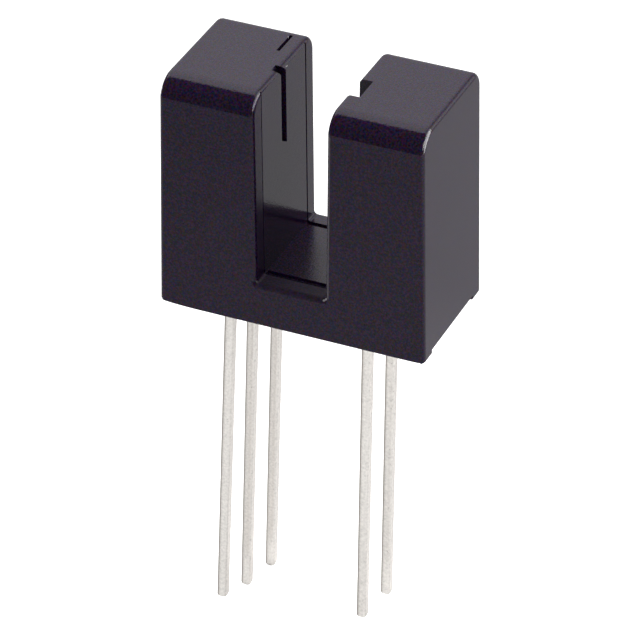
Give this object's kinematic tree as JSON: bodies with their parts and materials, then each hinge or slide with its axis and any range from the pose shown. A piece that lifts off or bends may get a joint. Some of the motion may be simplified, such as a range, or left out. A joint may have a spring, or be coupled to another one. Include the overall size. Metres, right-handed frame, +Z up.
{
  "type": "slotted optical switch",
  "caption": "U-shaped optical switch for a circuit board: a beam crosses the slot between the arms of a black moulded housing on straight through-hole leads.",
  "frame": {"origin": "middle of the seating plane, where the circuit board's face meets the housing's rails", "axes": "+X along the light beam from the sensor's arm to the emitter's arm, +Y towards the back, +Z up out of the board"},
  "size_m": [0.0124, 0.0064, 0.0276],
  "materials": {
    "housing_plastic": "glossy black moulded plastic with a faint violet cast",
    "package_epoxy": "dark moulded epoxy that passes infrared",
    "tinned_lead": "dull bright tin plating",
    "chip": "polished semiconductor chip",
    "bond_wire": "bright gold wire",
    "potting": "cured black potting compound"
  },
  "bodies": {
    "root": {"housing": "housing_plastic", "emitter_package": "package_epoxy", "sensor_package": "package_epoxy", "emitter_lead_anode": "tinned_lead", "emitter_lead_cathode": "tinned_lead", "sensor_lead_supply": "tinned_lead", "sensor_lead_ground": "tinned_lead", "sensor_lead_output": "tinned_lead", "emitter_die": "chip", "sensor_die": "chip", "emitter_bond_wire": "bond_wire", "sensor_bond_wire_supply": "bond_wire", "sensor_bond_wire_output": "bond_wire", "emitter_potting": "potting", "sensor_potting": "potting"}
  },
  "joints": []
}
